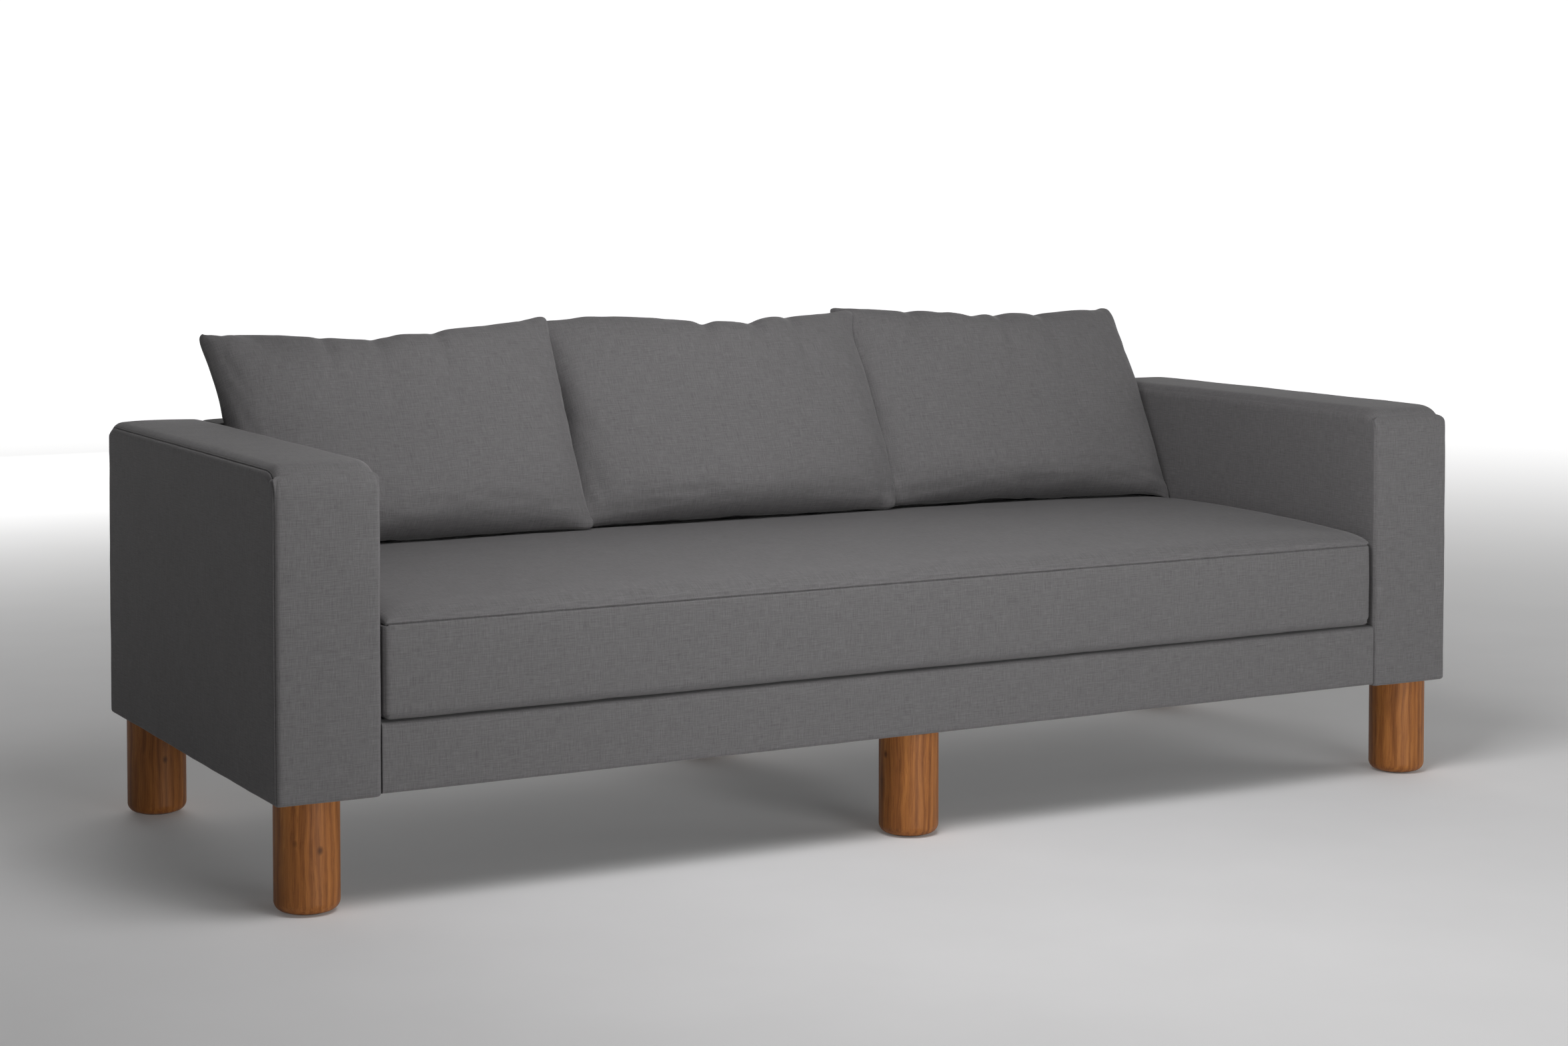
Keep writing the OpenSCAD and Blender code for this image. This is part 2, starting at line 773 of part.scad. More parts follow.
// Hex-socket flange bolt along +Z, with its seat at the origin
module connector_bolt() {
    difference() {
        union() {
            translate([0, 0, -head_t]) cylinder(r = head_r, h = head_t);
            cylinder(r = bolt_r, h = bolt_len);
        }
        translate([0, 0, -head_t - 1]) cylinder(r = 3.5, h = 4, $fn = 6);
    }
}

module connector_bolts() {
    color("silver") {
        for (s = [0, 1])
            mirror([s, 0, 0]) {
                for (y = base_bolt_y)
                    translate([side_rail_x[0], y, base_bolt_z]) rotate([0, 90, 0]) connector_bolt();
                for (z = back_bolt_z)
                    translate([side_rail_x[0], back_bolt_y, z]) rotate([0, 90, 0]) connector_bolt();
            }
        for (x = joint_bolt_x)
            translate([x, rear_rail_y[0], joint_bolt_z]) rotate([-90, 0, 0]) connector_bolt();
    }
}

module frame_screws() {
    color("gold") at_corners() {
        rod_y(screw_in, [screw_depth - screw_len, screw_depth], screw_low, screw_r);
        rod_y(screw_in, [screw_depth, screw_depth + screw_head_t], screw_low, screw_head_r);
        rod_x([screw_depth - screw_len, screw_depth], screw_in, screw_high, screw_r);
        rod_x([screw_depth, screw_depth + screw_head_t], screw_in, screw_high, screw_head_r);
    }
}

// ---------- underside ----------

dust_t = 1.5;
dust_base_y = [rail_y[1] + 1, face_y - fabric - clear - 1];
dust_arm_x = [arm_in + fabric + 1, side_x - fabric - 1];
dust_arm_y = [-face_y + fabric + 1, face_y - fabric - 1];

module dust_cover() {
    base_z = [rail_bottom - dust_t, rail_bottom];
    arm_z = [leg_top - dust_t, leg_top];
    color("black") {
        difference() {
            box([-base_x + 1, base_x - 1], dust_base_y, base_z);
            box([-leg_block_x - 2, leg_block_x + 2], [rail_y[1], rail_y[1] + leg_block_len + 2],
                [base_z[0] - 1, base_z[1] + 1]);
            box([-leg_block_x - 2, leg_block_x + 2], [back_frame_y[0] - 2, face_y],
                [base_z[0] - 1, base_z[1] + 1]);
        }
        for (s = [0, 1])
            mirror([s, 0, 0]) difference() {
                along_z(arm_z) round_rect(dust_arm_x, dust_arm_y, arm_corner - fabric - 1);
                for (y = leg_y)
                    rod_z(leg_x, y, [arm_z[0] - 1, arm_z[1] + 1], leg_d / 2 + 1);
            }
    }
}

staple_step = 80;
staple_len = 11;
staple_w = 1.2;
staple_t = 0.7;
// From the dust cover's front, rear and sides, and from an arm piece's sides, to the staples
staple_in = [12, 8, 12, 6];
staple_shift = 20;           // of the side rows towards the front
module staple(p, z, upright) {
    size = upright ? [staple_w, staple_len, staple_t] : [staple_len, staple_w, staple_t];
    translate([p[0], p[1], z - staple_t] - [size[0] / 2, size[1] / 2, 0]) cube(size);
}
module dust_cover_staples() {
    base_z = rail_bottom - dust_t;
    arm_z = leg_top - dust_t;
    base_edge = base_x - 1 - staple_in[2];
    color("silver") {
        for (x = [-11 : 11], y = [dust_base_y[0] + staple_in[0], dust_base_y[1] - staple_in[1]])
            if (abs(x) > 0) staple([x * staple_step, y], base_z, false);
        for (s = [-1, 1], y = [-4 : 5])
            staple([s * base_edge, y * staple_step - staple_shift], base_z, true);
        for (s = [-1, 1], x = [dust_arm_x[0] + staple_in[3], dust_arm_x[1] - staple_in[3]], y = [-3 : 3])
            staple([s * x, y * staple_step], arm_z, true);
    }
}

// ---------- the part ----------

for (side = ["left", "right"]) {
    arm_posts(side);
    arm_boards(side);
    arm_inner_panel(side);
    arm_outer_panel(side);
    arm_foam(side);
    arm_cover(side);
}
base_front_rail();
base_rear_rail();
base_side_rails();
base_cross_rails();
base_corner_blocks();
base_leg_blocks();
seat_springs();
spring_clips();
spring_tie_wires();
seat_deck_felt();
front_rail_pad();
base_cover();
back_rails();
back_posts();
back_webbing();
back_foam();
back_rear_panel();
back_cover();
seat_core();
seat_wrap();
seat_cover();
seat_zip();
seat_zip_slider();
for (which = ["left", "center", "right"]) {
    pillow_insert(which);
    pillow_cover(which);
    pillow_zip(which);
    pillow_zip_slider(which);
}
leg_names = ["front_left", "front_center", "front_right", "rear_left", "rear_center", "rear_right"];
for (i = [0 : 5])
    leg(i);
leg_glides();
leg_hanger_bolts();
insert_nuts();
connector_bolts();
frame_screws();
dust_cover();
dust_cover_staples();
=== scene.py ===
"""Looks of the three-seat sofa with wooden legs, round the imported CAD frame. Metres, +Z up, front at -Y."""
import json
import math
import random

import bpy
import numpy as np
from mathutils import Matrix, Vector, noise


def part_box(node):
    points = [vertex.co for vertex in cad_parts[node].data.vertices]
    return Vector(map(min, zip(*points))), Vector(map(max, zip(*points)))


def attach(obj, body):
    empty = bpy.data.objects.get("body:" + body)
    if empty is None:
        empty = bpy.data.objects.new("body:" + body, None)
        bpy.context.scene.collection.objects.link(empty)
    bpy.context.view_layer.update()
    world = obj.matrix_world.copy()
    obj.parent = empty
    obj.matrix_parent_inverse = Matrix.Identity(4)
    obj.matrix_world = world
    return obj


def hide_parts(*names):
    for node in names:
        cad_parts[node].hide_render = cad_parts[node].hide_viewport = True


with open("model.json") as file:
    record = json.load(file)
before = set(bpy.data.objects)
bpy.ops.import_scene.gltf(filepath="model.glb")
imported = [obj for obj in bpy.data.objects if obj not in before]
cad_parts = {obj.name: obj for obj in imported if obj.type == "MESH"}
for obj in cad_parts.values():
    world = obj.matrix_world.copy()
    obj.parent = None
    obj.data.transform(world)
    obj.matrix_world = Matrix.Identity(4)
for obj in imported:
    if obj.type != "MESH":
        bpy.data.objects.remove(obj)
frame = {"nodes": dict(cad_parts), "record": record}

X, Y, Z = 0, 1, 2
MM = 0.001
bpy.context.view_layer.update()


# ---------- materials ----------

class Nodes:
    """A material's node tree, with short calls that add a node and link its inputs."""

    def __init__(self, name):
        self.material = bpy.data.materials.new(name)
        self.material.use_nodes = True
        self.tree = self.material.node_tree
        self.shader = self.tree.nodes["Principled BSDF"]

    def add(self, kind, inputs=(), **settings):
        node = self.tree.nodes.new("ShaderNode" + kind)
        for key, value in settings.items():
            setattr(node, key, value)
        for key, value in dict(inputs).items():
            self.put(node.inputs[key], value)
        return node

    def put(self, socket, value):
        if isinstance(value, bpy.types.NodeSocket):
            self.tree.links.new(value, socket)
        elif isinstance(value, bpy.types.Node):
            self.tree.links.new(value.outputs[0], socket)
        else:
            socket.default_value = value

    def set(self, **inputs):
        for key, value in inputs.items():
            self.put(self.shader.inputs[key.replace("_", " ")], value)

    def math(self, operation, a, b=0.0):
        return self.add("Math", {0: a, 1: b}, operation=operation)

    def coords(self, scale, source="Object", shift=(0, 0, 0), turn=(0, 0, 0)):
        base = self.add("UVMap") if source == "UV" else self.add("TexCoord").outputs[source]
        return self.placed(base, scale, shift, turn)

    def noise(self, vector, detail=2.0, rough=0.5, distortion=0.0):
        return self.add("TexNoise", {"Vector": vector, "Scale": 1.0, "Detail": detail, "Roughness": rough,
                                     "Distortion": distortion})

    def placed(self, vector, scale, shift, turn=(0, 0, 0)):
        return self.add("Mapping", {"Vector": vector, "Scale": scale, "Location": shift, "Rotation": turn})

    def blend(self, *terms):
        """The sum of the terms, each a value and its share."""
        parts = [self.math("MULTIPLY", value, share) for value, share in terms]
        total = parts[0]
        for part in parts[1:]:
            total = self.math("ADD", total, part)
        return total

    def ramp(self, value, stops):
        node = self.add("ValToRGB", {"Fac": value})
        ramp = node.color_ramp
        while len(ramp.elements) < len(stops):
            ramp.elements.new(0.5)
        for element, (place, colour) in zip(ramp.elements, stops):
            element.position = place
            element.color = (*colour, 1)
        return node

    def mix(self, a, b, factor, blend="MIX"):
        node = self.add("Mix", data_type="RGBA", blend_type=blend)
        for key, value in (("Factor", factor), (6, a), (7, b)):
            is_colour = not isinstance(value, (float, bpy.types.NodeSocket, bpy.types.Node))
            self.put(node.inputs[key], (*value, 1) if is_colour else value)
        return node.outputs[2]

    def bump(self, height, strength, distance, normal=None):
        inputs = {"Height": height, "Strength": strength, "Distance": distance}
        if normal:
            inputs["Normal"] = normal
        return self.add("Bump", inputs)


def slub_linen(name, colour):
    """Plain weave of uneven threads: fine streaks along both thread directions, sparse slubs, a faint mottle.
    It lies on the cloth coordinates, which are in metres, so each scale is a number of threads per metre."""
    n = Nodes(name)
    warp = n.noise(n.coords((820, 48, 1), "UV"), 2, 0.7)
    weft = n.noise(n.coords((44, 760, 1), "UV", (3, 7, 0)), 2, 0.7)
    slub_up = n.noise(n.coords((430, 16, 1), "UV", (11, 2, 0)), 2, 0.5)
    slub_across = n.noise(n.coords((14, 400, 1), "UV", (5, 13, 0)), 2, 0.5)
    mottle = n.noise(n.coords((60, 60, 60)), 3, 0.6)
    threads = n.math("ADD", warp, weft)
    slubs = n.math("ADD", slub_up, slub_across)
    tone = n.blend((threads, 0.40), (slubs, 0.12), (mottle, 0.03))
    dark = tuple(c * 0.64 for c in colour)
    light = tuple(c * 1.36 for c in colour)
    n.set(Base_Color=n.ramp(tone, ((0.335, dark), (0.735, light))), Roughness=0.92)
    n.set(Specular_IOR_Level=0.18, Sheen_Weight=0.15, Sheen_Roughness=0.45)
    weave = n.bump(threads, 0.35, 0.0005)
    n.set(Normal=n.bump(slubs, 0.25, 0.0007, weave))
    return n.material


def turned_wood(name, centre, light, middle, dark, shift):
    """Long vertical grain with a faint arched figure, pores and a few pin knots, round the leg's own axis."""
    n = Nodes(name)
    base = n.placed(n.add("TexCoord").outputs["Object"], (1, 1, 1), tuple(-c for c in centre))
    wander = n.noise(n.placed(base, (9, 9, 4), shift), 3, 0.55)
    drift = n.add("VectorMath", {0: wander.outputs["Color"], "Scale": 0.030}, operation="SCALE")
    bent = n.add("VectorMath", {0: base, 1: drift.outputs[0]}, operation="ADD").outputs[0]
    planks = n.placed(bent, (1, 1, 0.10), (0.055, 0.03, shift[0]), (0.10, 0.16, 0))
    rings = n.add("TexWave", {"Vector": planks, "Scale": 26.0, "Distortion": 3.0, "Detail": 3.0,
                              "Detail Scale": 1.6}, wave_type="RINGS", rings_direction="Z")
    grain = n.noise(n.placed(bent, (420, 420, 11), shift), 4, 0.65)
    streak = n.noise(n.placed(bent, (75, 75, 3.5), shift), 3, 0.6)
    tone = n.blend((rings, 0.12), (grain, 0.44), (streak, 0.44))
    colour = n.ramp(tone, ((0.34, dark), (0.52, middle), (0.70, light)))
    pores = n.noise(n.placed(bent, (1000, 1000, 34), shift), 2, 0.5)
    pore = n.ramp(pores, ((0.60, (0, 0, 0)), (0.70, (1, 1, 1))))
    knots = n.add("TexVoronoi", {"Vector": n.placed(base, (17, 17, 12), shift), "Scale": 1.0})
    knot = n.ramp(knots.outputs["Distance"], ((0.03, (1, 1, 1)), (0.10, (0, 0, 0))))
    flawed = n.mix(colour, tuple(c * 0.5 for c in dark), n.math("MULTIPLY", pore, 0.35))
    n.set(Base_Color=n.mix(flawed, tuple(c * 0.35 for c in dark), n.math("MULTIPLY", knot, 0.8)))
    n.set(Roughness=n.math("ADD", n.math("MULTIPLY", grain, 0.16), 0.40), Specular_IOR_Level=0.22)
    n.set(Coat_Weight=0.04, Coat_Roughness=0.35, Normal=n.bump(n.math("ADD", grain, pore), 0.12, 0.0004))
    return n.material


def sawn_wood(name, light, dark, along):
    """Planed softwood or board: pale bands and fine grain along one axis."""
    n = Nodes(name)
    stretch = [70.0, 70.0, 70.0]
    stretch[along] = 3.0
    bands = n.noise(n.coords(stretch), 3, 0.6, 0.6)
    fine = n.noise(n.coords([s * 7 for s in stretch]), 2, 0.5)
    tone = n.blend((bands, 0.7), (fine, 0.3))
    n.set(Base_Color=n.ramp(tone, ((0.35, dark), (0.65, light))), Roughness=0.66)
    n.set(Normal=n.bump(fine, 0.2, 0.0004))
    return n.material


def grainy(name, light, dark, scale, rough, bump, metal=0.0, stretch=(1, 1, 1)):
    """A surface of specks or fibres: foam, felt, board, wadding, spun cloth or drawn metal."""
    n = Nodes(name)
    speck = n.noise(n.coords([scale * s for s in stretch]), 4, 0.65)
    broad = n.noise(n.coords((14, 14, 14)), 2, 0.5)
    tone = n.blend((speck, 0.65), (broad, 0.35))
    n.set(Base_Color=n.ramp(tone, ((0.36, dark), (0.64, light))))
    n.set(Roughness=n.math("ADD", n.math("MULTIPLY", speck, 0.2), rough - 0.1), Metallic=metal)
    n.set(Normal=n.bump(speck, bump, 0.0008))
    return n.material


def woven_strap(name, light, dark):
    """Webbing or zip tape: ribs across a plain weave."""
    n = Nodes(name)
    askew = n.coords((1, 1, 1), turn=(0.4, 0.6, 0.8))
    ribs = n.add("TexWave", {"Vector": askew, "Scale": 130.0, "Distortion": 0.4})
    fuzz = n.noise(n.coords((600, 600, 600)), 2, 0.5)
    tone = n.blend((ribs, 0.6), (fuzz, 0.4))
    n.set(Base_Color=n.ramp(tone, ((0.25, dark), (0.75, light))), Roughness=0.85)
    n.set(Normal=n.bump(tone, 0.3, 0.0006))
    return n.material


GREY = (0.1265, 0.1228, 0.1245)
STAINED = ((0.40, 0.160, 0.040), (0.285, 0.104, 0.025), (0.15, 0.049, 0.012))
PINE = ((0.66, 0.48, 0.27), (0.50, 0.33, 0.16))
# slot: light, dark, scale, roughness, bump, and where it matters metallic and stretch
GRAINY = {
    "foam": ((0.80, 0.72, 0.45), (0.66, 0.57, 0.32), 420, 0.9, 0.5),
    "fibre_fill": ((0.85, 0.85, 0.83), (0.68, 0.68, 0.66), 260, 0.95, 0.6),
    "hardboard": ((0.30, 0.19, 0.10), (0.20, 0.12, 0.06), 700, 0.6, 0.2),
    "spring_steel": ((0.42, 0.42, 0.43), (0.26, 0.26, 0.27), 500, 0.38, 0.08, 1.0, (1, 0.1, 1)),
    "deck_felt": ((0.13, 0.13, 0.13), (0.07, 0.07, 0.072), 380, 0.95, 0.6),
    "glide_felt": ((0.07, 0.06, 0.05), (0.03, 0.025, 0.02), 500, 0.95, 0.5),
    "zinc_steel": ((0.62, 0.62, 0.60), (0.44, 0.44, 0.43), 300, 0.35, 0.05, 1.0),
    "brass": ((0.72, 0.50, 0.20), (0.52, 0.34, 0.12), 300, 0.32, 0.05, 1.0),
    "zip_metal": ((0.36, 0.36, 0.37), (0.22, 0.22, 0.23), 600, 0.34, 0.06, 1.0),
    "dust_cloth": ((0.030, 0.030, 0.031), (0.012, 0.012, 0.013), 650, 0.9, 0.5),
}
# slot: light, dark
WOVEN = {
    "webbing": ((0.32, 0.28, 0.20), (0.16, 0.14, 0.10)),
    "zip_tape": ((0.07, 0.07, 0.072), (0.03, 0.03, 0.031)),
}
linen = slub_linen("slub_linen", GREY)
MATERIALS = {slot: grainy(slot, *numbers) for slot, numbers in GRAINY.items()}
MATERIALS.update({slot: woven_strap(slot, *colours) for slot, colours in WOVEN.items()})
MATERIALS["upholstery_fabric"] = linen
SLOT_OF = {part["node"]: part["material_slot"] for part in frame["record"]["subparts"]}


def dress_cad_nodes():
    """Gives every CAD node the procedural material of its slot."""
    for name, node in frame["nodes"].items():
        slot = SLOT_OF[name]
        low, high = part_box(name)
        if slot == "leg_wood":
            centre = ((low.x + high.x) / 2, (low.y + high.y) / 2, 0)
            seed = 1.7 * len(name) + 3.1 * centre[0] + 2.3 * centre[1]
            material = turned_wood("wood_" + name, centre, *STAINED, (seed, seed * 0.6, seed * 0.3))
        elif slot == "frame_wood":
            longest = max((X, Y, Z), key=lambda axis: high[axis] - low[axis])
            material = sawn_wood("pine_" + name, *PINE, longest)
        else:
            material = MATERIALS[slot]
        node.data.materials.clear()
        node.data.materials.append(material)


# ---------- mesh tools ----------

EDGE_CUTS = [i * MM for i in (1, 2, 3, 4, 5, 6, 7.5, 9, 10.5, 12, 14, 17, 21)]
# the smallest offset, area and distance from a face that count
TINY, LEAST_AREA, ON_FACE = 1e-9, 1e-12, 1e-6


def cuts(low, high, step):
    """Sorted cut places from low to high, about step apart, and closer together near both ends."""
    count = max(2, round((high - low) / step))
    inner = [low + (high - low) * i / count for i in range(1, count)]
    close = EDGE_CUTS[-1] + step / 3
    places = {low, high} | {p for p in inner if min(p - low, high - p) > close}
    for distance in EDGE_CUTS:
        if distance < (high - low) / 2:
            places |= {low + distance, high - distance}
    return np.array(sorted(places))


def lattice_box(xs, ys, zs):
    """A closed box surface on three sets of cuts: points, quads and each quad's facing axis."""
    sets = (xs, ys, zs)
    index, points, quads, facing = {}, [], [], []

    def point(key):
        if key not in index:
            index[key] = len(points)
            points.append([sets[a][key[a]] for a in range(3)])
        return index[key]

    for axis in range(3):
        u, v = (axis + 1) % 3, (axis + 2) % 3
        for end in (0, len(sets[axis]) - 1):
            for i in range(len(sets[u]) - 1):
                for j in range(len(sets[v]) - 1):
                    ring = []
                    for di, dj in ((0, 0), (1, 0), (1, 1), (0, 1)):
                        key = [0, 0, 0]
                        key[axis], key[u], key[v] = end, i + di, j + dj
                        ring.append(point(tuple(key)))
                    quads.append(ring if end else ring[::-1])
                    facing.append(axis)
    return np.array(points), quads, facing


def round_edges(points, a, b, low, high, radii):
    """Rounds the box's edges that run square to axes a and b. radii is for (low, low), (high, low), (low, high)
    and (high, high)."""
    corners = ((-1, -1), (1, -1), (-1, 1), (1, 1))
    for (sa, sb), r in zip(corners, radii):
        if r <= 0:
            continue
        ca = (high[a] - r) if sa > 0 else (low[a] + r)
        cb = (high[b] - r) if sb > 0 else (low[b] + r)
        da, db = (points[:, a] - ca) * sa, (points[:, b] - cb) * sb
        inside = (da > TINY) & (db > TINY)
        far = np.maximum(da, db)[inside]
        length = np.hypot(da, db)[inside]
        points[inside, a] = ca + sa * da[inside] * far / length
        points[inside, b] = cb + sb * db[inside] * far / length


def make_object(name, points, quads, material, uvs=None):
    """A smooth-shaded mesh object. uvs: one pair for each corner of each quad."""
    mesh = bpy.data.meshes.new(name)
    mesh.from_pydata([tuple(p) for p in points], [], [list(q) for q in quads])
    if uvs is not None:
        layer = mesh.uv_layers.new(name="cloth")
        layer.data.foreach_set("uv", np.asarray(uvs, float).ravel())
    mesh.materials.append(material)
    mesh.polygons.foreach_set("use_smooth", [True] * len(mesh.polygons))
    mesh.update()
    piece = bpy.data.objects.new(name, mesh)
    bpy.context.collection.objects.link(piece)
    return piece


def subdivide(piece):
    modifier = piece.modifiers.new("smooth", "SUBSURF")
    modifier.levels = modifier.render_levels = 1


def normals_of(points, quads):
    """Area-weighted point normals."""
    q = np.array(quads)
    cross = np.cross(points[q[:, 2]] - points[q[:, 0]], points[q[:, 3]] - points[q[:, 1]])
    total = np.zeros_like(points)
    for corner in range(4):
        np.add.at(total, q[:, corner], cross)
    return total / np.maximum(np.linalg.norm(total, axis=1, keepdims=True), LEAST_AREA)


def ripple(points, scale, seed, octaves=3):
    """Smooth noise from -1 to 1 at each point."""
    shift = Vector((seed * 3.7, seed * 1.3, seed * 2.9))
    return np.array([noise.fractal(Vector(p * scale) + shift, 1.0, 2.0, octaves) for p in points])


def box_uvs(lattice, quads, facing):
    """Cloth coordinates in metres, square to each side of the box."""
    across = {X: (Y, Z), Y: (X, Z), Z: (X, Y)}
    return [[lattice[corner][axis] for axis in across[face]]
            for quad, face in zip(quads, facing) for corner in quad]


# ---------- upholstered boxes ----------

TOP, FRONT, REAR, LEFT, RIGHT = (Z, 1), (Y, -1), (Y, 1), (X, -1), (X, 1)
# ripples per metre: the slow swell of the cover, its fine wrinkles, and the puckers along its seams
SWELL_RATE, WRINKLE_RATE, PUCKER_RATE = 9, 34, 60


def crown(inset, edge, share, reach):
    """Rise of padding, 0 to 1, at a distance in from its border: a quick round of width edge that gives a
    share of the rise, then a slow swell that ends at reach."""
    near, far = np.clip(inset / edge, 0, 1), np.clip(inset / reach, 0, 1)
    return share * np.sqrt(1 - (1 - near) ** 2) + (1 - share) * (1 - (1 - far) ** 2)


def upholstered_box(name, low, high, radii, swells, seams, seed, wrinkle=0.7 * MM, step=0.013):
    """A padded, tightly covered box. radii: {(a, b): the four radii of the edges square to axes a and b}.
    swells: {face: (bulge, {other axis: (edge, share, reach)})}. seams: [(face, borders, lines)], each line
    being its distance in from the nearest of the borders, its depth and its half width."""
    low, high = np.array(low), np.array(high)
    lattice, quads, facing = lattice_box(*[cuts(low[a], high[a], step) for a in range(3)])
    inset = {(a, -1): lattice[:, a] - low[a] for a in range(3)}
    inset.update({(a, 1): high[a] - lattice[:, a] for a in range(3)})
    on_face = {face: distance < ON_FACE for face, distance in inset.items()}
    points = lattice.copy()
    for (a, b), four in radii.items():
        round_edges(points, a, b, low, high, four)
    for (axis, side), (bulge, shape) in swells.items():
        rise = bulge * np.ones(len(points))
        for other, numbers in shape.items():
            rise *= crown(np.minimum(inset[other, -1], inset[other, 1]), *numbers)
        points[:, axis] += np.where(on_face[axis, side], side * rise, 0)
    normal = normals_of(points, quads)
    depth = wrinkle * (ripple(points, SWELL_RATE, seed) + 0.35 * ripple(points, WRINKLE_RATE, seed + 1, 2))
    pucker = 1 + 0.3 * ripple(points, PUCKER_RATE, seed + 5, 2)
    for face, borders, lines in seams:
        border = np.min([inset[b] for b in borders], axis=0)
        for distance, deep, half in lines:
            depth -= np.where(on_face[face], deep * pucker * np.exp(-((border - distance) / half) ** 2), 0)
    points += normal * depth[:, None]
    piece = make_object(name, points, quads, linen, box_uvs(lattice, quads, facing))
    subdivide(piece)
    return piece


def corners_of(node):
    """The CAD node's box as two lists that can be changed."""
    low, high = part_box(node)
    return list(low), list(high)


def stands_for(piece, body, nodes):
    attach(piece, body)
    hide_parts(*nodes)


# seam lines: distance in from the border, depth, half width
WELT = ((4 * MM, 1.9 * MM, 1.4 * MM),)
SOFT_WELT = ((4 * MM, 0.6 * MM, 1.6 * MM),)
RAIL_STITCH = ((7.5 * MM, 1.0 * MM, 1.2 * MM),)
ARM_FRONT_FOLD = ((52 * MM, 0.7 * MM, 3 * MM),)
# crowns: edge, share, reach
FIRM = (0.020, 0.55, 0.080)
LONG = (0.030, 0.65, 0.200)
ARM_TOP = (0.045, 0.55, 0.083)
ARM_TOP_RADII = {"left": (0.018, 0.024), "right": (0.020, 0.029)}


def make_arm(side, seed):
    low, high = corners_of(f"arm_{side}_cover")
    radii = {(X, Z): (0.005, 0.005, *ARM_TOP_RADII[side]), (Y, Z): (0.006, 0.006, 0.042, 0.042),
             (X, Y): (0.009, 0.009, 0.022, 0.022)}
    outer, inner = (LEFT, RIGHT) if side == "left" else (RIGHT, LEFT)
    swells = {FRONT: (2.5 * MM, {X: FIRM, Z: LONG}), REAR: (1.5 * MM, {X: FIRM, Z: LONG}),
              TOP: (5.0 * MM, {X: ARM_TOP, Y: LONG}),
              outer: (1.5 * MM, {Y: LONG, Z: LONG}), inner: (1.0 * MM, {Y: LONG, Z: LONG})}
    seams = [(outer, (TOP, FRONT, REAR), WELT), (inner, (TOP, FRONT, REAR), SOFT_WELT),
             (FRONT, (TOP,), ARM_FRONT_FOLD)]
    arm = upholstered_box(f"upholstered_arm_{side}", low, high, radii, swells, seams, seed)
    stands_for(arm, "sofa_frame", (f"arm_{side}_cover", f"arm_{side}_foam"))


def make_back():
    low, high = corners_of("back_cover")
    radii = {(Y, Z): (0.004, 0.004, 0.022, 0.022)}
    swells = {REAR: (3 * MM, {X: LONG, Z: LONG}), TOP: (4 * MM, {X: LONG, Y: FIRM})}
    seams = [(REAR, (TOP, LEFT, RIGHT), WELT)]
    back = upholstered_box("upholstered_back", low, high, radii, swells, seams, 6, step=0.016)
    stands_for(back, "sofa_frame", ("back_cover", "back_foam"))


def make_front_rail():
    low, high = corners_of("base_cover")
    radii = {(Y, Z): (0.006, 0.0, 0.008, 0.0)}
    swells = {FRONT: (1.6 * MM, {X: FIRM, Z: FIRM})}
    seams = [(FRONT, (TOP,), RAIL_STITCH)]
    rail = upholstered_box("upholstered_front_rail", low, high, radii, swells, seams, 8, wrinkle=0.5 * MM)
    stands_for(rail, "sofa_frame", ("base_cover", "front_rail_pad"))


# ---------- seat cushion ----------

SEAT_RISE = 0.040
SEAT_CROWN = {X: (0.050, 0.72, 0.45), Y: (0.060, 0.50, 0.38)}
SEAT_FRONT = (0.035, 0.6, 0.075)
SEAT_SEAM = ((4.0 * MM, 4.5 * MM, 1.4 * MM),)
ZIP_PROUD = 2 * MM


def seat_top(x, y):
    """Height of the crowned seat top, from the rule that shapes the cushion."""
    low, high = corners_of("seat_cover")
    rise = SEAT_RISE * np.ones(len(x))
    for axis, place in ((X, x), (Y, y)):
        rise *= crown(np.clip(np.minimum(place - low[axis], high[axis] - place), 0, None), *SEAT_CROWN[axis])
    return high[Z] - SEAT_RISE + rise


def make_seat():
    low, high = corners_of("seat_cover")
    high[Z] -= SEAT_RISE
    high[Y] -= ZIP_PROUD
    radii = {(X, Y): (0.010, 0.022, 0.024, 0.024), (X, Z): (0.016, 0.016, 0.010, 0.010),
             (Y, Z): (0.016, 0.016, 0.004, 0.004)}
    swells = {TOP: (SEAT_RISE, SEAT_CROWN), FRONT: (4 * MM, {X: LONG, Z: SEAT_FRONT})}
    seams = [(face, (TOP,), SEAT_SEAM) for face in (LEFT, RIGHT, FRONT, REAR)]
    seat = upholstered_box("upholstered_seat", low, high, radii, swells, seams, 9, wrinkle=0.9 * MM)
    stands_for(seat, "seat_cushion", ("seat_cover", "seat_wrap"))


# ---------- back pillows, inflated as sewn cases by cloth simulation ----------

# the flat case, and what inflation is given
PILLOW_WIDE = 0.675
PILLOW_HIGH = 0.455
PILLOW_CELL = 0.0085
SHEET_GAP = 0.010
JITTER_MM = 0.4
PRESSURE = 1.5
# the filled pillow: foot and head are (Y, Z) of the middles of its bottom and top seams
PILLOW_SPAN = 0.662
FULLNESS = 0.62
FOOT, HEAD = np.array((0.188, 0.468)), np.array((0.388, 0.834))
FOOT_THICK, HEAD_THICK = 1.12, 0.88
SEAM_CREASE = 0.55
CALM_PASSES, CORNER_PASSES = 30, 6
TIP_OUT, TIP_UP = 10 * MM, 4 * MM
# how it meets the back, the seat, its own zip and the arms
BACK_GAP, BACK_OVER = 2 * MM, 5 * MM
SEAT_GAP, ZIP_GAP = 1.5 * MM, 1 * MM
ZIP_REACH, ZIP_FADE = 40 * MM, 28 * MM
ARM_GAP, ARM_OVER, ARM_FADE = 3 * MM, 25 * MM, 30 * MM


